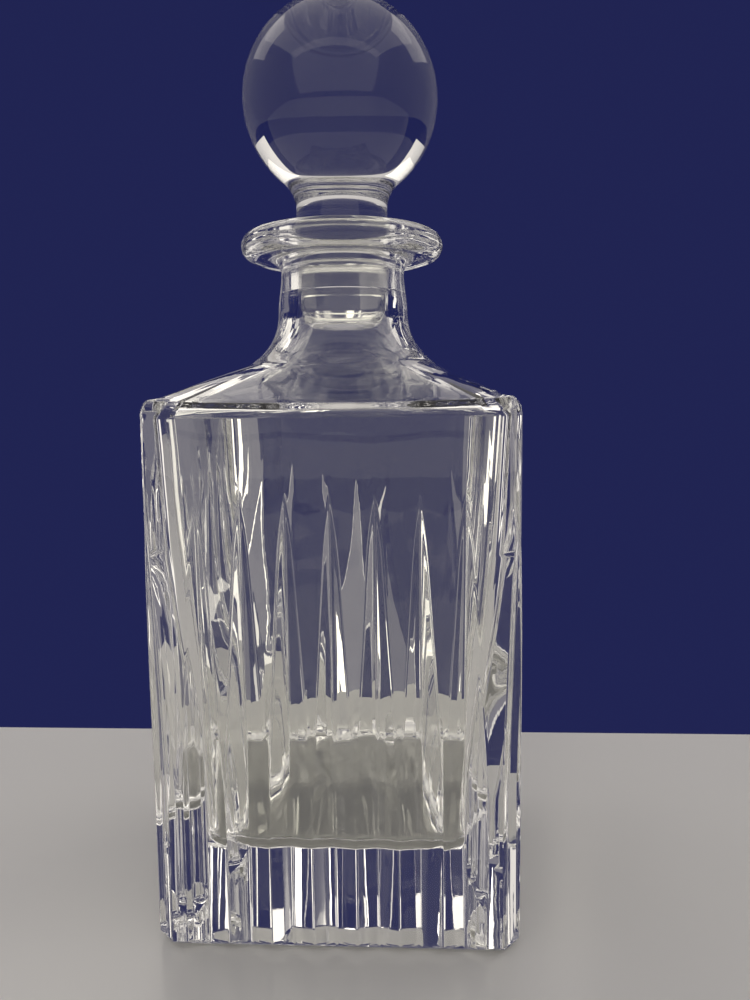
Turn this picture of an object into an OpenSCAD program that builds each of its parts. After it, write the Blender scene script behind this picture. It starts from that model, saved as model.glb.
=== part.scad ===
// Square cut-crystal wine decanter with a ball stopper.
// Units are mm and +Z is up. The origin is the centre of the footprint, on the table.
// bottle: square body, thick base, cavity, neck, lip and ground seat, one piece of glass.
// stopper: solid ball, waisted stem and ground taper peg, one piece of glass.

/* [Body] */
// Width of the square body across its flat sides
body_w = 91; // [88:0.5:94]
// Radius of the edge between a side and the shoulder
edge_r = 4; // [3:0.5:5]
// Radius of the four vertical corners above the cuts
corner_r = 5; // [4:0.5:6]
// Slope of the shoulder above horizontal, in degrees
shoulder_angle = 29.4; // [28:0.2:31]
// Height of the narrow bevel around the foot
bevel_h = 2.2; // [1.6:0.2:4]
// Depth of the narrow bevel around the foot
bevel_d = 2.7; // [2.6:0.1:3.4]

/* [Cavity] */
// Thickness of the solid base under the cavity
floor_z = 21; // [18:0.5:26]
// Width of the cavity at its floor
cavity_floor_w = 64.5; // [62:0.5:68]
// Width of the cavity where its walls start to close in
cavity_mid_w = 80; // [78:0.5:81]
// Height where the walls of the cavity start to close in
cavity_mid_z = 80; // [74:1:86]
// Width of the cavity just under the shoulder
cavity_top_w = 85; // [83:0.5:86]
// Radius under the shoulder inside the cavity
cavity_r = 3; // [2.5:0.5:5]
// Radius around the floor of the cavity
cavity_floor_r = 7; // [5:0.5:8]

/* [Cuts] */
// Spacing of the vertical V cuts along a side
cut_pitch = 10.6; // [10.2:0.1:10.8]
// Number of V cuts on each side
cuts_per_side = 7; // [5:2:7]
// Depth of a V cut where it is full
cut_depth = 2.2; // [1.6:0.1:2.4]
// Width of the flat left on the ridge between two cuts
ridge_land = 0.2; // [0.15:0.05:0.6]
// Height of the point where each cut starts
cut_top_z = 114.5; // [108:0.5:118]
// Height below which the cuts have their full depth
cut_full_z = 41; // [36:0.5:46]
// Length of the steep tip of a cut
cut_tip_l = 12; // [10:0.5:14]
// Share of the full depth reached at the end of the steep tip
cut_tip_share = 0.3; // [0.26:0.01:0.34]
// Depth of the V cut on each vertical corner
corner_cut_depth = 2.6; // [2:0.1:2.8]
// Height of the point where each corner cut starts
corner_cut_top_z = 106; // [100:0.5:112]

/* [Neck] */
// Outside radius of the neck
neck_r = 18; // [17.5:0.1:18.6]
// Radius of the sweep between the neck and the shoulder
flare_r = 16; // [15:0.5:17]
// Height of the centre of that sweep
flare_z = 160; // [159:0.5:161]
// Radius of the bore under the ground seat
bore_r = 12.6; // [12.4:0.1:12.8]
// Radius of the sweep from the bore into the cavity
inner_flare_r = 22.2; // [21.5:0.1:23]
// Height of the centre of that inner sweep
inner_flare_z = 163; // [162:0.2:163.6]
// Outside radius of the waist just below the lip
waist_r = 17; // [16.7:0.1:17.4]
// Outside radius of the lip
lip_r = 27.8; // [26:0.2:29]
// Thickness of the lip
lip_h = 7.2; // [6.6:0.2:7.6]
// Height of the top of the lip
lip_top_z = 181.6; // [180.6:0.2:183]
// Radius under the lip where it meets the waist
lip_fillet_r = 3.6; // [3:0.2:4.2]

/* [Ground seat] */
// Length of the ground taper inside the neck
seat_l = 16.1; // [15.1:0.2:17.1]
// Radius of the ground taper at the top of the lip
seat_top_r = 13.1; // [12.9:0.1:13.2]
// Radius of the ground taper at its lower end
seat_low_r = 12.25; // [12.05:0.05:12.35]
// Gap left all round between the peg and the seat
seat_gap = 0.06; // [0.04:0.01:0.1]

/* [Stopper] */
// Radius of the ball
ball_r = 26.5; // [25.5:0.1:27.5]
// Height of the centre of the ball
ball_z = 217; // [216:0.5:218]
// Radius of the stem at its narrowest
stem_r = 12.5; // [12.2:0.1:12.7]
// Radius of the hollow curve where the stem runs into the ball
stem_curve_r = 11; // [9:0.5:12]
// Height of the lower end of the peg
peg_end_z = 156.2; // [155:0.2:158]
// Radius round the lower end of the peg
peg_edge_r = 4.5; // [3:0.5:5.5]

/* [Hidden] */
$fn = 96;
profile_fn = 48;
eps = 0.01;
over = 1;
glass = [0.86, 0.88, 0.86, 0.45];

half_w = body_w / 2;
corner_d = (half_w - corner_r) * sqrt(2) + corner_r;
slope = tan(shoulder_angle);
// where the sweep of the neck takes the slope of the shoulder
sweep_x = neck_r + flare_r * (1 - sin(shoulder_angle));
sweep_z = flare_z - flare_r * cos(shoulder_angle);
// the flat of the shoulder stands this much proud of the end of the sweep
shoulder_lift = 0.15;
apex_z = sweep_z + shoulder_lift + sweep_x * slope;
// softening cone that takes the hips off near the neck
hip_slope = 0.272;
hip_z = sweep_z + 2 * shoulder_lift + sweep_x * hip_slope;
edge_x = half_w - edge_r;
edge_z = apex_z - (edge_x + edge_r * sin(shoulder_angle)) * slope - edge_r * cos(shoulder_angle);

inner_sweep_x = bore_r + inner_flare_r * (1 - sin(shoulder_angle));
inner_sweep_z = inner_flare_z - inner_flare_r * cos(shoulder_angle);
inner_apex_z = inner_sweep_z + shoulder_lift + inner_sweep_x * slope;
inner_hip_z = inner_sweep_z + 2 * shoulder_lift + inner_sweep_x * hip_slope;
seat_low_z = lip_top_z - seat_l;
low_lean = atan((cavity_mid_w - cavity_floor_w) / 2 / (cavity_mid_z - floor_z));
low_z = floor_z + cavity_floor_r;
low_x = cavity_floor_w / 2 + cavity_floor_r * tan(low_lean) - cavity_floor_r / cos(low_lean);
// centre of the inner edge radius, tangent to the upper wall and to the shoulder
high_x = cavity_top_w / 2 - cavity_r;
high_z = inner_apex_z - high_x * slope - cavity_r / cos(shoulder_angle);

cut_half_w = (cut_pitch - ridge_land) / 2;
seat_rate = (seat_top_r - seat_low_r) / seat_l;
peg_top_r = seat_top_r - seat_gap;
peg_low_r = peg_top_r - seat_rate * (lip_top_z - peg_end_z);
// the hollow curve of the stem bites this far into the ball, so the two join cleanly
bite = 0.04;
join_r = ball_r + stem_curve_r - bite;
stem_z = ball_z - sqrt(pow(join_r, 2) - pow(stem_r + stem_curve_r, 2));
join_z = ball_z - (ball_z - stem_z) * ball_r / join_r;
lip_edge_r = lip_h / 2;
lip_low_z = lip_top_z - lip_h;

// side outline of the body, standing in XY with y as height
module body_outline() {
    polygon([
        [-half_w + bevel_d, 0], [half_w - bevel_d, 0], [half_w, bevel_h], [half_w, edge_z],
        [edge_x + edge_r * sin(shoulder_angle), edge_z + edge_r * cos(shoulder_angle)],
        [0, apex_z],
        [-edge_x - edge_r * sin(shoulder_angle), edge_z + edge_r * cos(shoulder_angle)],
        [-half_w, edge_z], [-half_w, bevel_h]
    ]);
    for (s = [-1, 1]) translate([s * edge_x, edge_z]) circle(r = edge_r);
}

// side outline of the cavity
module cavity_outline() {
    polygon([
        [-low_x, floor_z], [low_x, floor_z],
        [low_x + cavity_floor_r * cos(low_lean), low_z - cavity_floor_r * sin(low_lean)],
        [cavity_mid_w / 2, cavity_mid_z], [high_x + cavity_r, high_z],
        [high_x + cavity_r * sin(shoulder_angle), high_z + cavity_r * cos(shoulder_angle)],
        [0, inner_apex_z],
        [-high_x - cavity_r * sin(shoulder_angle), high_z + cavity_r * cos(shoulder_angle)],
        [-high_x - cavity_r, high_z], [-cavity_mid_w / 2, cavity_mid_z],
        [-low_x - cavity_floor_r * cos(low_lean), low_z - cavity_floor_r * sin(low_lean)]
    ]);
    for (s = [-1, 1]) {
        translate([s * low_x, low_z]) circle(r = cavity_floor_r, $fn = profile_fn);
        translate([s * high_x, high_z]) circle(r = cavity_r, $fn = profile_fn);
    }
}

// foot bevel seen across the corners
module corner_outline() {
    polygon([
        [-corner_d - over + bevel_d, -bevel_h * over / bevel_d],
        [corner_d + over - bevel_d, -bevel_h * over / bevel_d],
        [corner_d + over, bevel_h], [corner_d + over, apex_z + over],
        [-corner_d - over, apex_z + over], [-corner_d - over, bevel_h]
    ]);
}

// stands an outline up and gives it a length along Y
module standing(length) {
    rotate([90, 0, 0]) linear_extrude(height = length, center = true) children();
}

module rounded_square() {
    square([body_w, body_w - 2 * corner_r], center = true);
    square([body_w - 2 * corner_r, body_w], center = true);
    for (x = [-1, 1], y = [-1, 1])
        translate([x * (half_w - corner_r), y * (half_w - corner_r)]) circle(r = corner_r);
}

module body_blank() {
    intersection() {
        linear_extrude(height = apex_z + over) rounded_square();
        standing(body_w + 2 * over) body_outline();
        rotate([0, 0, 90]) standing(body_w + 2 * over) body_outline();
        rotate([0, 0, 45]) standing(3 * corner_d) corner_outline();
        rotate([0, 0, -45]) standing(3 * corner_d) corner_outline();
        cone_cap(hip_z);
    }
}

// everything under a wide cone with its tip on the axis
module cone_cap(tip_z) {
    rotate_extrude() polygon([
        [0, -over], [2 * body_w / 2, -over], [body_w, tip_z - body_w * hip_slope], [0, tip_z]
    ]);
}

// V cut in the plane y = 0 of a side that faces -Y; its floor runs out at top_z
module v_cut(top_z, depth, half_width) {
    rate = half_width / depth;
    tip_slope = cut_tip_share * depth / cut_tip_l;
    low_slope = (1 - cut_tip_share) * depth / (top_z - cut_tip_l - cut_full_z);
    intersection() {
        translate([0, 0, -over]) linear_extrude(height = top_z + 2 * over) polygon([
            [0, depth], [-rate * (depth + over), -over], [rate * (depth + over), -over]
        ]);
        leaning_v(top_z, tip_slope, rate);
        leaning_v(top_z - cut_tip_l + cut_tip_share * depth / low_slope, low_slope, rate);
    }
}

// V prism whose floor leaves the face at tip_z and leans into the glass below it
module leaning_v(tip_z, slope, rate) {
    deep = slope * tip_z + 2 * over;
    translate([0, 0, tip_z]) rotate([atan(slope), 0, 0]) translate([0, 0, -tip_z - 3 * over])
        linear_extrude(height = tip_z + 4 * over) polygon([
            [0, 0], [-rate * deep, -deep], [rate * deep, -deep]
        ]);
}

module all_cuts() {
    for (q = [0 : 3]) rotate([0, 0, 90 * q]) {
        for (k = [0 : cuts_per_side - 1])
            translate([(k - (cuts_per_side - 1) / 2) * cut_pitch, -half_w, 0])
                v_cut(cut_top_z, cut_depth, cut_half_w);
        rotate([0, 0, 45]) translate([0, -corner_d, 0])
            v_cut(corner_cut_top_z, corner_cut_depth, cut_half_w * corner_cut_depth / cut_depth);
    }
}

// neck, sweep and lip as one turned shape
module neck_outer() {
    rotate_extrude() {
        difference() {
            translate([0, edge_z]) square([sweep_x, flare_z - edge_z]);
            translate([neck_r + flare_r, flare_z]) circle(r = flare_r);
        }
        difference() {
            polygon([
                [0, flare_z - over], [neck_r - over, flare_z - over], [neck_r, flare_z],
                [waist_r, lip_low_z - lip_fillet_r],
                [waist_r, lip_low_z - lip_fillet_r + eps],
                [waist_r + lip_fillet_r, lip_low_z - lip_fillet_r + eps],
                [waist_r + lip_fillet_r, lip_low_z + eps], [0, lip_low_z + eps]
            ]);
            translate([waist_r + lip_fillet_r, lip_low_z - lip_fillet_r])
                circle(r = lip_fillet_r, $fn = profile_fn);
        }
        translate([0, lip_low_z]) square([lip_r - lip_edge_r, lip_h]);
        translate([lip_r - lip_edge_r, lip_low_z + lip_edge_r]) circle(r = lip_edge_r, $fn = profile_fn);
    }
}

// inside of the neck: ground taper, plain bore and sweep
module neck_inner() {
    rotate_extrude() {
        polygon([
            [0, seat_low_z - eps], [seat_low_r, seat_low_z - eps], [seat_low_r, seat_low_z],
            [seat_top_r, lip_top_z], [seat_top_r + seat_rate * over, lip_top_z + over], [0, lip_top_z + over]
        ]);
        translate([0, inner_flare_z - over]) square([bore_r, seat_low_z - inner_flare_z + over]);
        difference() {
            translate([0, high_z]) square([inner_sweep_x, inner_flare_z - high_z]);
            translate([bore_r + inner_flare_r, inner_flare_z]) circle(r = inner_flare_r);
        }
    }
}

module cavity() {
    intersection() {
        standing(2 * body_w) cavity_outline();
        rotate([0, 0, 90]) standing(2 * body_w) cavity_outline();
        cone_cap(inner_hip_z);
    }
}

module bottle() {
    color(glass) difference() {
        union() {
            body_blank();
            neck_outer();
        }
        all_cuts();
        cavity();
        neck_inner();
    }
}

module stopper() {
    color(glass) rotate_extrude() {
        intersection() {
            translate([0, ball_z]) circle(r = ball_r, $fn = 2 * profile_fn);
            translate([0, ball_z - ball_r]) square([ball_r, 2 * ball_r]);
        }
        difference() {
            translate([0, stem_z]) square([stem_r + stem_curve_r, join_z - stem_z]);
            translate([stem_r + stem_curve_r, stem_z]) circle(r = stem_curve_r);
        }
        polygon([
            [0, peg_end_z + peg_edge_r], [peg_low_r + seat_rate * peg_edge_r, peg_end_z + peg_edge_r],
            [peg_top_r, lip_top_z], [stem_r, stem_z], [stem_r, stem_z + eps], [0, stem_z + eps]
        ]);
        translate([0, peg_end_z]) square([peg_low_r - peg_edge_r, 2 * peg_edge_r]);
        intersection() {
            translate([peg_low_r - peg_edge_r, peg_end_z + peg_edge_r])
                circle(r = peg_edge_r, $fn = profile_fn);
            translate([0, peg_end_z]) square([peg_low_r, peg_edge_r]);
        }
    }
}

bottle();
stopper();
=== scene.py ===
import bpy
import math
import numpy as np
from mathutils import Matrix, Vector, noise


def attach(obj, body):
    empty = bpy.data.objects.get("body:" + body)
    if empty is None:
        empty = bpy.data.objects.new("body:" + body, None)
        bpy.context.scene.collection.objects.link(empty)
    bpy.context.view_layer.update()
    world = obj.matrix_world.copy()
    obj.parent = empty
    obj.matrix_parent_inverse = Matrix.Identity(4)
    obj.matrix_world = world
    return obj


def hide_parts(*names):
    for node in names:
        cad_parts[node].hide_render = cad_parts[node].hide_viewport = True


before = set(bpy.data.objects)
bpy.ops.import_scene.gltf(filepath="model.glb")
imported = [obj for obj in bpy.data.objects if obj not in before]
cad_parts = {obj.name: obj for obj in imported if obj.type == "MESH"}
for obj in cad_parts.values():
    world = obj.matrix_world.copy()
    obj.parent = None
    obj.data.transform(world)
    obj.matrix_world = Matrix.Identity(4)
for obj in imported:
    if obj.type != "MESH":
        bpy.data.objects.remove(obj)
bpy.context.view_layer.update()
scene = bpy.context.scene

# ---------------------------------------------------------------- sizes, mm
# _R is a radius, _Z a height over the table, _L a length, _H a thickness upright, _D a depth and
# _HALF a half width. IN_ is the inner surface of the glass.
HALF = 45.5                              # the square body
CORNER_R = 5.0                           # its upright corners, before they are cut
EDGE_R = 4.0                             # its upper edge
SLOPE = math.radians(29.4)               # of the shoulder
BEVEL_H, BEVEL_D = 2.2, 2.7              # at the foot
PITCH, CUTS, CUT_D, LAND = 10.6, 7, 2.2, 0.2                        # V cuts on a side, land between them
CUT_TOP, CUT_FULL, TIP_L, TIP_SHARE = 114.5, 41.0, 12.0, 0.3        # heights of tip and full depth; tip part
CORNER_CUT_D, CORNER_CUT_TOP = 2.6, 106.0
NECK_R, FLARE_R, FLARE_Z, WAIST_R = 18.0, 16.0, 160.0, 17.0
LIP_R, LIP_H, LIP_Z, LIP_FILLET = 27.8, 7.2, 181.6, 3.6             # LIP_Z is its top
SEAT_L, SEAT_TOP_R, SEAT_LOW_R, SEAT_GAP = 16.1, 13.1, 12.25, 0.06  # ground taper, gap to the peg
BORE_R, IN_FLARE_R, IN_FLARE_Z = 12.6, 22.2, 163.0
FLOOR_Z, FLOOR_HALF, FLOOR_R = 21.0, 32.25, 7.0                     # of the hollow
MID_Z, MID_HALF, TOP_HALF, CAVITY_R = 80.0, 40.0, 42.5, 3.0         # its walls and upper edge
HIP = 0.272                              # slope of the cone that takes over from the roof near the neck
ROOF_POWER = 14                          # how square the roof is in plan
ROOF_LIFT, HIP_LIFT = 0.15, 0.3          # how far roof and cone start over the flare's tangent
HIP_BLEND, FLARE_BLEND = 2.0, 0.8        # how softly the roof runs into the cone, and into the flare
FADE_FROM, FADE_L, FADE_D = 24, 10, 8    # radius and length over which the flare drops away under the roof
WALL_BLEND = 0.8                         # how softly the hollow's wall changes its lean
TIP_BLEND, FULL_BLEND = 0.05, 0.02       # how softly a cut changes its rate, in shares of its depth
SPREAD, SETTLE = 1.35, 2.2               # powers: spacing of the shoulder's rings, fading of the edge's shape
EDGE_SAG, IN_SAG = 1.2, 0.8              # how far the middles of the shoulder's long edges hang, out and in
IN_ROUND, FLOOR_ROUND = 8.0, 5.5         # corner radii of the hollow in plan, at the walls and at the floor
MOUTH_R = 0.8                            # rounding of the seat's mouth
TURN_R, IN_TURN_R = 20.0, 19.0           # radii where the shoulder goes over to the turned neck, out and in
ROUND = 0.24                             # polished rounding of the floors and edges of the cuts
WAVE = 0.22                              # depth of the waves of the blown inside
BALL_R, BALL_Z, STEM_R, STEM_CURVE_R = 26.5, 217.0, 12.5, 11.0
PEG_END_Z, PEG_EDGE_R = 156.2, 4.5
STOPPER_COLUMNS = 192

MM_PER_M = 1000.0
SHARP = math.radians(28)                 # edges steeper than this stay crisp

slope = math.tan(SLOPE)
RATE = CUT_D / ((PITCH - LAND) / 2)      # steepness of a cut facet
CORNER_C = (HALF - CORNER_R) * math.sqrt(2)
CORNER_D = CORNER_C + CORNER_R
SIDE_END = CUTS * PITCH / 2              # where the cuts of a side end and the corner starts
sweep_x = NECK_R + FLARE_R * (1 - math.sin(SLOPE))
sweep_z = FLARE_Z - FLARE_R * math.cos(SLOPE)
apex_z = sweep_z + ROOF_LIFT + sweep_x * slope
hip_z = sweep_z + HIP_LIFT + sweep_x * HIP
edge_x = HALF - EDGE_R
edge_z = apex_z - (edge_x + EDGE_R * math.sin(SLOPE)) * slope - EDGE_R * math.cos(SLOPE)
in_x = BORE_R + IN_FLARE_R * (1 - math.sin(SLOPE))
in_z = IN_FLARE_Z - IN_FLARE_R * math.cos(SLOPE)
in_apex = in_z + ROOF_LIFT + in_x * slope
in_hip = in_z + HIP_LIFT + in_x * HIP
high_x = TOP_HALF - CAVITY_R
high_z = in_apex - high_x * slope - CAVITY_R / math.cos(SLOPE)


# ---------------------------------------------------------------- bottle mesh
def smooth_max(a, b, k):
    return 0.5 * (a + b + np.sqrt((a - b) ** 2 + k * k))


def smooth_min(a, b, k):
    return 0.5 * (a + b - np.sqrt((a - b) ** 2 + k * k))


def half_columns(w, end):
    """Column offsets from the floor of a cut out to `end`, bunched at the floor and at the cut's edge."""
    w = max(w, 0.3)
    m = min(1.0, w / 1.3)
    rest = end - w
    return [0.14 * m, 0.42 * m, 0.5 * w, w - 0.42 * m, w - 0.14 * m,
            w + min(0.12, 0.3 * rest), w + min(0.45, 0.65 * rest), end]


def share(z, top):
    """How much of its full depth a cut has at height z: quick at the tip, slower below it."""
    tip = TIP_SHARE * (top - z) / TIP_L
    low = TIP_SHARE + (1 - TIP_SHARE) * (top - TIP_L - z) / (top - TIP_L - CUT_FULL)
    return float(smooth_min(smooth_min(tip, low, TIP_BLEND), 1.0, FULL_BLEND))


def side_offsets(z):
    """Column positions along one side at height z, and the half width of its cuts there."""
    w = share(z, CUT_TOP) * (PITCH - LAND) / 2
    h = half_columns(w, PITCH / 2)
    one = [-v for v in reversed(h[:-1])] + [0.0] + h
    xs = [-SIDE_END]
    for k in range(CUTS):
        c = (k - (CUTS - 1) / 2) * PITCH
        xs += [c + v for v in one]
    return np.array(xs), w


def corner_offsets(z, shrink):
    """Column positions across one cut corner at height z, and the depth of its cut there."""
    d = CORNER_CUT_D * share(z, CORNER_CUT_TOP)
    a = CORNER_R - max(d, 0.0)
    root = max(0.0, a * a * RATE * RATE - (1 + RATE * RATE) * (a * a - CORNER_R ** 2))
    w = (-a * RATE + math.sqrt(root)) / (1 + RATE * RATE)
    end = (HALF - SIDE_END) / math.sqrt(2)
    h = half_columns(w, end - 0.35)
    one = [-v for v in reversed(h)] + [0.0] + h
    return np.array(one) * (end - shrink / math.sqrt(2)) / end, d


def cut_in(x, w, foot):
    """Depth of a V cut of half width w at x off its floor, or of the foot bevel where that is deeper."""
    return smooth_max(RATE * (w - np.sqrt(x * x + ROUND ** 2)), foot, 0.6 * ROUND)


def outline(z, inset, foot):
    """Outer outline of the body at height z, drawn in by `inset`; the foot bevel takes off `foot` here."""
    xs, w = side_offsets(z)
    near = np.abs((xs + SIDE_END) % PITCH - PITCH / 2)
    depth = cut_in(near, w, foot)
    side = np.stack([xs, -(HALF - inset) + depth], 1)
    ts, d = corner_offsets(z, inset + foot)
    r = CORNER_R - inset - foot
    flat = (HALF - inset - foot) * math.sqrt(2) - np.abs(ts)
    arc = CORNER_C + np.sqrt(np.maximum(r * r - ts * ts, 0.0))
    blank = np.where(np.abs(ts) < r * math.sin(math.pi / 4), arc, flat)
    groove = CORNER_D - d + RATE * np.sqrt(ts * ts + ROUND ** 2)
    dist = smooth_min(blank, groove, 0.6 * ROUND)
    corner = np.stack([(dist + ts) / math.sqrt(2), (-dist + ts) / math.sqrt(2)], 1)
    ring = []
    for q in range(4):
        a = q * math.pi / 2
        rot = np.array([[math.cos(a), math.sin(a)], [-math.sin(a), math.cos(a)]])
        ring.append(np.concatenate([side, corner]) @ rot)
    return np.concatenate(ring)


def at_height(xy, z):
    """Points in plan lifted to one height, or each to its own."""
    return np.concatenate([xy, np.broadcast_to(np.asarray(z, float), (len(xy),))[:, None]], 1)


def square_norm(xy, p):
    return (np.abs(xy[:, 0]) ** p + np.abs(xy[:, 1]) ** p) ** (1 / p)


def roof(xy, apex, hip, flare_r, flare_c, flare_z, p):
    """Sloping shoulder that turns from square to round and sweeps up into the neck."""
    r = np.hypot(xy[:, 0], xy[:, 1])
    z = smooth_min(apex - slope * square_norm(xy, p), hip - HIP * r, HIP_BLEND)
    reach = np.clip(flare_c - r, 0, flare_r)
    sweep = flare_z - np.sqrt(flare_r ** 2 - reach ** 2)
    sweep = np.where(r < flare_c, sweep, flare_z - flare_r)
    fade = np.clip((r - FADE_FROM) / FADE_L, 0, 1)
    return smooth_max(z, sweep - FADE_D * fade * fade, FLARE_BLEND)


def rounded_square_at(theta, half, radius):
    """Points of a rounded square seen from its centre at the given angles."""
    q = np.round(theta / (math.pi / 2)) * (math.pi / 2)
    t = np.abs(theta - q)
    flat = half / np.cos(t)
    c = half - radius
    ux, uy = np.cos(t), np.sin(t)
    b = c * (ux + uy)
    arc = b + np.sqrt(np.maximum(b * b - (2 * c * c - radius * radius), 0))
    rho = np.where(flat * uy > c, arc, flat)
    return np.stack([rho * np.cos(theta), rho * np.sin(theta)], 1)


def sagged(ring, amount):
    """The long edges of the shoulder hang a little lower in their middles."""
    u = np.minimum(np.abs(ring[:, 0]), np.abs(ring[:, 1])) / HALF
    ring[:, 2] -= amount * (1 - np.clip(u, 0, 1) ** 2)
    return ring


def body_rings():
    """Underside from the centre out, foot bevel, walls and the rounded upper edge."""
    rings = []
    foot_ring = outline(0.0, 0.0, BEVEL_D)
    for s in (0.06, 0.35, 0.7, 0.95):
        rings.append(at_height(foot_ring * s, 0.0))
    for z in (0.0, 0.4, 0.8, 1.2, 1.6, 2.0, 2.2, 2.6):
        rings.append(at_height(outline(z, 0.0, BEVEL_D * max(0.0, 1 - z / BEVEL_H)), z))
    # rings closer together where a cut starts or changes its slope
    for z in (5, 20, 34, 38, 40, 41, 42, 44, 48, 56, 65, 75, 85, 91, 94, 96.5, 99, 101, 102, 103,
              104.5, 105.5, 106.2, 107.5, 110, 112, 113.2, 114, 114.7, 116, 119, 125):
        rings.append(at_height(outline(z, 0.0, 0.0), z))
    for k in range(0, 9):
        a = (math.pi / 2 - SLOPE) * k / 8
        inset = EDGE_R * (1 - math.cos(a))
        ring = at_height(outline(edge_z, inset, 0.0), edge_z + EDGE_R * math.sin(a))
        rings.append(sagged(ring, EDGE_SAG))
    return rings


def shoulder_rings(start, circle):
    """Outer shoulder, from the ring that ends the body's edge to the turned neck."""
    args = (apex_z, hip_z, FLARE_R, NECK_R + FLARE_R, FLARE_Z, ROOF_POWER)
    gap = start[:, 2] - roof(start[:, :2], *args)
    rings = []
    steps = 18
    for k in range(1, steps + 1):
        t = k / steps
        t = 1 - (1 - t) ** SPREAD
        xy = start[:, :2] * (1 - t) + circle * TURN_R * t
        rings.append(at_height(xy, roof(xy, *args) + gap * (1 - t) ** SETTLE))
    return rings


def neck_profile():
    """Radius and height down the turned part: flare, waist, lip, seat, bore and inner flare."""
    profile = []
    flare_a = math.acos((NECK_R + FLARE_R - TURN_R) / FLARE_R)
    for k in range(1, 9):
        a = flare_a * (1 - k / 8)
        profile.append((NECK_R + FLARE_R - FLARE_R * math.cos(a), FLARE_Z - FLARE_R * math.sin(a)))
    waist_z = LIP_Z - LIP_H - LIP_FILLET
    for k in range(1, 6):
        t = k / 5
        ease = t * t * (3 - 2 * t)
        profile.append((NECK_R + (WAIST_R - NECK_R) * ease, FLARE_Z + (waist_z - FLARE_Z) * t))
    for k in range(1, 9):
        a = math.pi / 2 * k / 8
        profile.append((WAIST_R + LIP_FILLET * (1 - math.cos(a)), waist_z + LIP_FILLET * math.sin(a)))
    lip_e = LIP_H / 2
    profile.append((LIP_R - lip_e - 1.2, LIP_Z - LIP_H + 0.02))
    for k in range(0, 17):
        a = math.pi * k / 16
        profile.append((LIP_R - lip_e + lip_e * math.sin(a), LIP_Z - lip_e - lip_e * math.cos(a)))
    profile += [(20.5, LIP_Z), (16.5, LIP_Z), (SEAT_TOP_R + 1.2, LIP_Z)]
    for k in range(1, 6):
        a = math.pi / 2 * k / 5
        profile.append((SEAT_TOP_R + MOUTH_R * (1 - math.sin(a)), LIP_Z - MOUTH_R * (1 - math.cos(a))))
    for k in range(1, 6):
        t = k / 5
        profile.append((SEAT_TOP_R + (SEAT_LOW_R - SEAT_TOP_R) * t,
                        LIP_Z - MOUTH_R - (SEAT_L - MOUTH_R) * t))
    profile += [(BORE_R - 0.05, LIP_Z - SEAT_L - 0.25), (BORE_R, LIP_Z - SEAT_L - 0.6), (BORE_R, IN_FLARE_Z)]
    in_flare_a = math.acos((BORE_R + IN_FLARE_R - IN_TURN_R) / IN_FLARE_R)
    for k in range(1, 10):
        a = in_flare_a * k / 9
        profile.append((BORE_R + IN_FLARE_R - IN_FLARE_R * math.cos(a),
                        IN_FLARE_Z - IN_FLARE_R * math.sin(a)))
    return profile


def hollow_rings(theta, circle):
    """Inside of the shoulder, its edge, and the walls and floor of the hollow."""
    rings = []
    top_ring = rounded_square_at(theta, high_x + CAVITY_R * math.sin(SLOPE), IN_ROUND)
    args = (in_apex, in_hip, IN_FLARE_R, BORE_R + IN_FLARE_R, IN_FLARE_Z, ROOF_POWER)
    gap = high_z + CAVITY_R * math.cos(SLOPE) - roof(top_ring, *args)
    for k in range(1, 15):
        t = k / 14
        t = t ** SPREAD
        xy = circle * IN_TURN_R * (1 - t) + top_ring * t
        rings.append(sagged(at_height(xy, roof(xy, *args) + gap * t ** SETTLE), IN_SAG * t))
    for k in range(1, 7):
        a = (math.pi / 2 - SLOPE) * (1 - k / 6)
        ring = at_height(rounded_square_at(theta, high_x + CAVITY_R * math.cos(a), IN_ROUND),
                         high_z + CAVITY_R * math.sin(a))
        rings.append(sagged(ring, IN_SAG * (1 - k / 6)))
    lean = math.atan((MID_HALF - FLOOR_HALF) / (MID_Z - FLOOR_Z))
    low_x = FLOOR_HALF + FLOOR_R * math.tan(lean) - FLOOR_R / math.cos(lean)
    wall = []
    for z in (*range(125, 30, -5), FLOOR_Z + FLOOR_R):
        upper = MID_HALF + (TOP_HALF - MID_HALF) * (z - MID_Z) / (high_z - MID_Z)
        lower = FLOOR_HALF + (z - FLOOR_Z) * math.tan(lean)
        wall.append((float(smooth_min(upper, lower, WALL_BLEND)), z))
    for k in range(0, 10):
        a = lean + (math.pi / 2 - lean) * k / 9
        wall.append((low_x + FLOOR_R * math.cos(a), FLOOR_Z + FLOOR_R - FLOOR_R * math.sin(a)))
    for half, z in wall:
        radius = FLOOR_ROUND + (IN_ROUND - FLOOR_ROUND) * min(1, max(0, (z - 20) / 60))
        rings.append(at_height(rounded_square_at(theta, half, radius), z))
    # the waves set in a little below the neck, whose bore was shaped on a tool
    calm = 8
    for i in range(calm, len(rings)):
        rings[i] = wavy(rings[i], WAVE * min(1.0, (i - calm) / 8))
    for s in (0.9, 0.7, 0.45, 0.2, 0.06):
        rings.append(at_height(rounded_square_at(theta, low_x, FLOOR_ROUND) * s, FLOOR_Z))
    return rings


def bottle_rings():
    """The whole skin, from the middle of the underside, over the lip, to the middle of the hollow's floor."""
    body = body_rings()
    edge = body[-1]
    theta = np.arctan2(edge[:, 1], edge[:, 0])
    circle = np.stack([np.cos(theta), np.sin(theta)], 1)
    neck = [at_height(circle * r, z) for r, z in neck_profile()]
    return body + shoulder_rings(edge, circle) + neck + hollow_rings(theta, circle)


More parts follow.
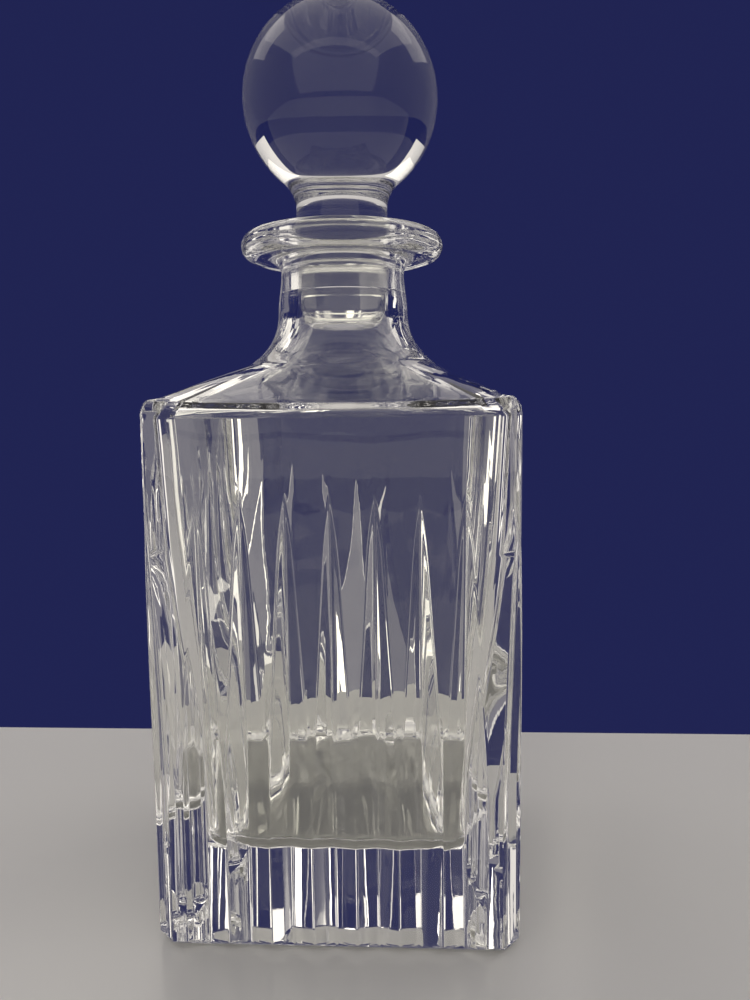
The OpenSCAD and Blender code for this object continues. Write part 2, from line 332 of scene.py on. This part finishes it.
def wavy(ring, amount):
    """Pushes a ring of the inner surface in and out a little, as in glass that was blown and not polished."""
    moved = ring.copy()
    for i, (x, y, z) in enumerate(ring):
        broad = noise.noise(Vector((x, y, z * 0.45)) * 0.085)
        fine = noise.noise(Vector((x + 50, y, z * 0.6)) * 0.19)
        n = broad + 0.35 * fine
        r = max(1.0, math.hypot(x, y))
        moved[i, 0] += amount * n * x / r
        moved[i, 1] += amount * n * y / r
    return moved


def skin(name, rings, body):
    """Closed mesh through rings of equal length, with a fan at each end."""
    n = len(rings[0])
    verts = np.concatenate([rings[0].mean(0)[None], *rings, rings[-1].mean(0)[None]]) / MM_PER_M
    faces = []
    for j in range(n):
        faces.append((0, 1 + (j + 1) % n, 1 + j))
    for i in range(len(rings) - 1):
        a, b = 1 + i * n, 1 + (i + 1) * n
        for j in range(n):
            k = (j + 1) % n
            faces.append((a + j, a + k, b + k, b + j))
    a, end = 1 + (len(rings) - 1) * n, len(verts) - 1
    for j in range(n):
        faces.append((a + j, a + (j + 1) % n, end))
    mesh = bpy.data.meshes.new(name)
    mesh.from_pydata(verts.tolist(), [], faces)
    mesh.validate()
    mesh.shade_smooth()
    mesh.set_sharp_from_angle(angle=SHARP)
    ob = bpy.data.objects.new(name, mesh)
    scene.collection.objects.link(ob)
    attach(ob, body)
    return ob


# ---------------------------------------------------------------- stopper mesh
def stopper_rings():
    """Turned profile of peg, stem and ball, from the middle of the peg's end to the top of the ball."""
    rate = (SEAT_TOP_R - SEAT_LOW_R) / SEAT_L
    peg_top = SEAT_TOP_R - SEAT_GAP
    peg_low = peg_top - rate * (LIP_Z - PEG_END_Z)
    join = BALL_R + STEM_CURVE_R
    stem_z = BALL_Z - math.sqrt(join ** 2 - (STEM_R + STEM_CURVE_R) ** 2)
    inner = peg_low - PEG_EDGE_R
    profile = [(inner * s, PEG_END_Z) for s in (0.06, 0.4, 0.75)]
    for k in range(0, 11):
        a = math.pi / 2 * k / 10
        profile.append((inner + PEG_EDGE_R * math.sin(a), PEG_END_Z + PEG_EDGE_R * (1 - math.cos(a))))
    z0 = PEG_END_Z + PEG_EDGE_R
    r0 = profile[-1][0]
    for k in range(1, 6):
        t = k / 5
        profile.append((r0 + (peg_top - r0) * t, z0 + (LIP_Z - z0) * t))
    for k in range(1, 7):
        t = k / 6
        ease = t * t * (3 - 2 * t)
        profile.append((peg_top + (STEM_R - peg_top) * ease, LIP_Z + (stem_z - LIP_Z) * t))
    a_end = math.asin((BALL_Z - stem_z) / join)
    for k in range(1, 13):
        a = a_end * k / 12
        profile.append((STEM_R + STEM_CURVE_R * (1 - math.cos(a)), stem_z + STEM_CURVE_R * math.sin(a)))
    for k in range(1, 49):
        a = -a_end + (math.pi / 2 + a_end) * k / 49
        profile.append((BALL_R * math.cos(a), BALL_Z + BALL_R * math.sin(a)))
    ang = np.linspace(0, 2 * math.pi, STOPPER_COLUMNS, endpoint=False)
    circle = np.stack([np.cos(ang), np.sin(ang)], 1)
    return [at_height(circle * r, z) for r, z in profile]


bottle = skin("bottle_glass", bottle_rings(), "bottle")
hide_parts("bottle")
stopper = skin("stopper_glass", stopper_rings(), "stopper")
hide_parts("stopper")


# ---------------------------------------------------------------- camera
PICTURE_H, SENSOR_H = 1000.0, 24.0       # height of the picture in pixels, of the sensor in mm
FOCAL_PX = 843.0
CAM_AT = Vector((0.02095, -0.23955, 0.13387))
CAM_DOWN, CAM_PAN, CAM_ROLL = math.radians(6.23), math.radians(-3.01), math.radians(-0.59)

cam_data = bpy.data.cameras.new("camera")
cam_data.sensor_fit = "VERTICAL"
cam_data.sensor_height = SENSOR_H
cam_data.lens = FOCAL_PX * SENSOR_H / PICTURE_H
cam_data.clip_start = 0.01
cam = bpy.data.objects.new("camera", cam_data)
scene.collection.objects.link(cam)
look = Vector((math.sin(CAM_PAN) * math.cos(CAM_DOWN),
               math.cos(CAM_PAN) * math.cos(CAM_DOWN),
               -math.sin(CAM_DOWN)))
side = Vector((math.cos(CAM_PAN), -math.sin(CAM_PAN), 0.0))
up = side.cross(look)
right = math.cos(CAM_ROLL) * side + math.sin(CAM_ROLL) * up
up = -math.sin(CAM_ROLL) * side + math.cos(CAM_ROLL) * up
cam.matrix_world = Matrix((
    (right.x, up.x, -look.x, CAM_AT.x),
    (right.y, up.y, -look.y, CAM_AT.y),
    (right.z, up.z, -look.z, CAM_AT.z),
    (0, 0, 0, 1)))
scene.camera = cam


# ---------------------------------------------------------------- materials
def glass(name, low, high, ground_rough):
    """Clear lead crystal with a faint change of tint, polishing marks, and a finely ground stopper seat."""
    mat = bpy.data.materials.new(name)
    mat.use_nodes = True
    nodes, link = mat.node_tree.nodes, mat.node_tree.links.new
    shader = nodes["Principled BSDF"]
    shader.inputs["IOR"].default_value = 1.545
    shader.inputs["Transmission Weight"].default_value = 1.0
    place = nodes.new("ShaderNodeTexCoord").outputs["Object"]

    cloud = nodes.new("ShaderNodeTexNoise")
    cloud.inputs["Scale"].default_value = 22.0
    link(place, cloud.inputs["Vector"])
    tint = nodes.new("ShaderNodeValToRGB")
    tint.color_ramp.elements[0].position, tint.color_ramp.elements[0].color = 0.35, (*low, 1)
    tint.color_ramp.elements[1].position, tint.color_ramp.elements[1].color = 0.65, (*high, 1)
    link(cloud.outputs["Fac"], tint.inputs["Fac"])
    link(tint.outputs["Color"], shader.inputs["Base Color"])

    # the ground band between peg and neck: by height, and only near the axis
    split = nodes.new("ShaderNodeSeparateXYZ")
    link(place, split.inputs["Vector"])
    band = nodes.new("ShaderNodeValToRGB")
    band.color_ramp.elements[0].position, band.color_ramp.elements[0].color = 0.40, (0, 0, 0, 1)
    band.color_ramp.elements[1].position, band.color_ramp.elements[1].color = 0.44, (1, 1, 1, 1)
    for position, value in ((0.93, 1.0), (0.97, 0.0)):
        band.color_ramp.elements.new(position).color = (value, value, value, 1)
    height = nodes.new("ShaderNodeMapRange")
    height.inputs["From Min"].default_value = 0.150
    height.inputs["From Max"].default_value = 0.1825
    link(split.outputs["Z"], height.inputs["Value"])
    link(height.outputs["Result"], band.inputs["Fac"])
    radius = nodes.new("ShaderNodeVectorMath")
    radius.operation = "LENGTH"
    flat = nodes.new("ShaderNodeCombineXYZ")
    link(split.outputs["X"], flat.inputs["X"])
    link(split.outputs["Y"], flat.inputs["Y"])
    link(flat.outputs["Vector"], radius.inputs[0])
    near = nodes.new("ShaderNodeMath")
    near.operation = "LESS_THAN"
    near.inputs[1].default_value = 0.0135
    link(radius.outputs["Value"], near.inputs[0])
    ground = nodes.new("ShaderNodeMath")
    ground.operation = "MULTIPLY"
    link(band.outputs["Color"], ground.inputs[0])
    link(near.outputs["Value"], ground.inputs[1])

    # roughness: next to nothing, a few wiped patches, more in the ground band
    smear = nodes.new("ShaderNodeTexNoise")
    smear.inputs["Scale"].default_value = 140.0
    smear.inputs["Detail"].default_value = 5.0
    link(place, smear.inputs["Vector"])
    wiped = nodes.new("ShaderNodeMapRange")
    wiped.inputs["From Min"].default_value = 0.58
    wiped.inputs["From Max"].default_value = 0.80
    wiped.inputs["To Max"].default_value = 0.035
    link(smear.outputs["Fac"], wiped.inputs["Value"])
    rough = nodes.new("ShaderNodeMath")
    rough.operation = "MULTIPLY_ADD"
    rough.inputs[1].default_value = ground_rough
    link(ground.outputs["Value"], rough.inputs[0])
    link(wiped.outputs["Result"], rough.inputs[2])
    link(rough.outputs["Value"], shader.inputs["Roughness"])

    # relief: slow waves, fine upright polishing marks and turning marks on the seat
    slow = nodes.new("ShaderNodeTexNoise")
    slow.inputs["Scale"].default_value = 55.0
    slow.inputs["Detail"].default_value = 1.0
    link(place, slow.inputs["Vector"])
    stretch = nodes.new("ShaderNodeMapping")
    stretch.inputs["Scale"].default_value = (900.0, 900.0, 25.0)
    link(place, stretch.inputs["Vector"])
    marks = nodes.new("ShaderNodeTexNoise")
    marks.inputs["Scale"].default_value = 1.0
    marks.inputs["Detail"].default_value = 3.0
    link(stretch.outputs["Vector"], marks.inputs["Vector"])
    turning = nodes.new("ShaderNodeTexWave")
    turning.bands_direction = "Z"
    turning.inputs["Scale"].default_value = 420.0
    turning.inputs["Distortion"].default_value = 1.5
    link(place, turning.inputs["Vector"])
    turned = nodes.new("ShaderNodeMath")
    turned.operation = "MULTIPLY"
    link(turning.outputs["Fac"], turned.inputs[0])
    link(ground.outputs["Value"], turned.inputs[1])
    normal = None
    for source, distance, strength in ((slow.outputs["Fac"], 0.00012, 0.35),
                                       (marks.outputs["Fac"], 0.000004, 0.3),
                                       (turned.outputs["Value"], 0.00001, 0.4)):
        bump = nodes.new("ShaderNodeBump")
        bump.inputs["Distance"].default_value = distance
        bump.inputs["Strength"].default_value = strength
        link(source, bump.inputs["Height"])
        if normal:
            link(normal, bump.inputs["Normal"])
        normal = bump.outputs["Normal"]
    link(normal, shader.inputs["Normal"])
    return mat


bottle.data.materials.append(glass("bottle crystal", (0.955, 0.958, 0.915), (0.98, 0.982, 0.955), 0.14))
stopper.data.materials.append(glass("stopper crystal", (0.965, 0.966, 0.93), (0.985, 0.985, 0.965), 0.10))


# ---------------------------------------------------------------- stage
def plain(name, color, rough):
    mat = bpy.data.materials.new(name)
    mat.use_nodes = True
    shader = mat.node_tree.nodes["Principled BSDF"]
    shader.inputs["Base Color"].default_value = (*color, 1)
    shader.inputs["Roughness"].default_value = rough
    return mat


FLOOR_X, FLOOR_FRONT, FLOOR_BACK = 1.2, -0.9, 0.100      # metres; it ends a little behind the bottle
FLOOR_LEVEL = -0.0004                                    # just under the foot, so the two don't flicker

floor_mesh = bpy.data.meshes.new("floor")
floor_mesh.from_pydata([(-FLOOR_X, FLOOR_FRONT, FLOOR_LEVEL), (FLOOR_X, FLOOR_FRONT, FLOOR_LEVEL),
                        (FLOOR_X, FLOOR_BACK, FLOOR_LEVEL), (-FLOOR_X, FLOOR_BACK, FLOOR_LEVEL)],
                       [], [(0, 1, 2, 3)])
floor_mesh.materials.append(plain("floor", (0.74, 0.74, 0.71), 0.2))
floor = bpy.data.objects.new("floor", floor_mesh)
scene.collection.objects.link(floor)

# dark blue behind the glass, because clear glass shows what is behind it
world = bpy.data.worlds.new("studio")
scene.world = world
world.use_nodes = True
backdrop = world.node_tree.nodes["Background"]
backdrop.inputs["Color"].default_value = (0.015, 0.018, 0.085, 1)
backdrop.inputs["Strength"].default_value = 1.0

# what the body's own lights reach; the ball would mirror them as hard squares
body_and_floor = bpy.data.collections.new("lights the body only")
scene.collection.children.link(body_and_floor)
for piece in (bottle, floor):
    body_and_floor.objects.link(piece)
AIM = Vector((0, 0, 0.12))               # the middle of the body
WARM = (1.0, 0.94, 0.82)                 # daylight through a room


def softbox(name, azimuth, height, distance, size, radiance, body_only=False):
    """Area light facing the bottle, unseen by the camera itself; azimuth is measured from straight behind."""
    a = math.radians(azimuth)
    at = Vector((distance * math.sin(a), distance * math.cos(a), height))
    light = bpy.data.lights.new(name, "AREA")
    light.shape = "RECTANGLE"
    light.size, light.size_y = size
    light.energy = radiance * math.pi * size[0] * size[1]
    light.color = WARM
    ob = bpy.data.objects.new(name, light)
    ob.location = at
    ob.rotation_euler = (AIM - at).to_track_quat("-Z", "Y").to_euler()
    ob.visible_camera = False
    if body_only:
        ob.light_linking.receiver_collection = body_and_floor
    scene.collection.objects.link(ob)
    return ob


# behind and beside the body, to light up the cuts
softbox("left window", -62, -0.12, 0.9, (0.50, 0.62), 1.1, True)
softbox("left fill", -25, -0.05, 0.9, (0.34, 1.0), 0.17, True)
softbox("left strip", -26, -0.35, 0.88, (0.045, 1.1), 1.6, True)
softbox("inner strip", -13, -0.40, 0.88, (0.03, 0.9), 0.7, True)
softbox("right fill", 21, -0.05, 0.9, (0.26, 1.0), 0.12, True)
softbox("right strip", 25, -0.35, 0.88, (0.05, 1.1), 2.0, True)
softbox("far right strip", 40, 0.0, 0.9, (0.08, 0.8), 1.5, True)
softbox("right window", 75, -0.12, 0.9, (0.45, 0.62), 0.9, True)
# higher up, seen through the shoulder and in the base
softbox("high left", -29, 0.78, 1.0, (0.36, 0.30), 1.3, True)
softbox("high strip 1", -9, 0.66, 1.0, (0.05, 0.26), 2.8, True)
softbox("high strip 2", -16, 0.66, 1.0, (0.04, 0.26), 1.5, True)
softbox("high strip 3", 6, 0.66, 1.0, (0.06, 0.26), 0.8, True)
softbox("high strip 4", 14, 0.66, 1.0, (0.04, 0.26), 1.8, True)
# the bright rims low on the ball
softbox("left crescent", -68, 0.95, 0.8, (0.5, 0.45), 0.9)
softbox("right crescent", 60, 0.95, 0.8, (0.6, 0.5), 0.95)
# the room
softbox("shoulder", 0, 1.25, 0.75, (1.5, 0.8), 0.8, True)
softbox("ceiling", 180, 2.0, 0.3, (4.2, 3.2), 0.62)
through_glass = softbox("ceiling through glass", 180, 2.0, 0.3, (4.2, 3.2), 0.13)
through_glass.data.use_shadow = False    # soft room light also gets under the clear body
softbox("front", 180, 0.75, 1.5, (3.2, 1.7), 0.45)

scene.view_settings.view_transform = "Standard"
scene.cycles.max_bounces = 32
scene.cycles.transmission_bounces = 24
scene.cycles.glossy_bounces = 24
scene.cycles.transparent_max_bounces = 16
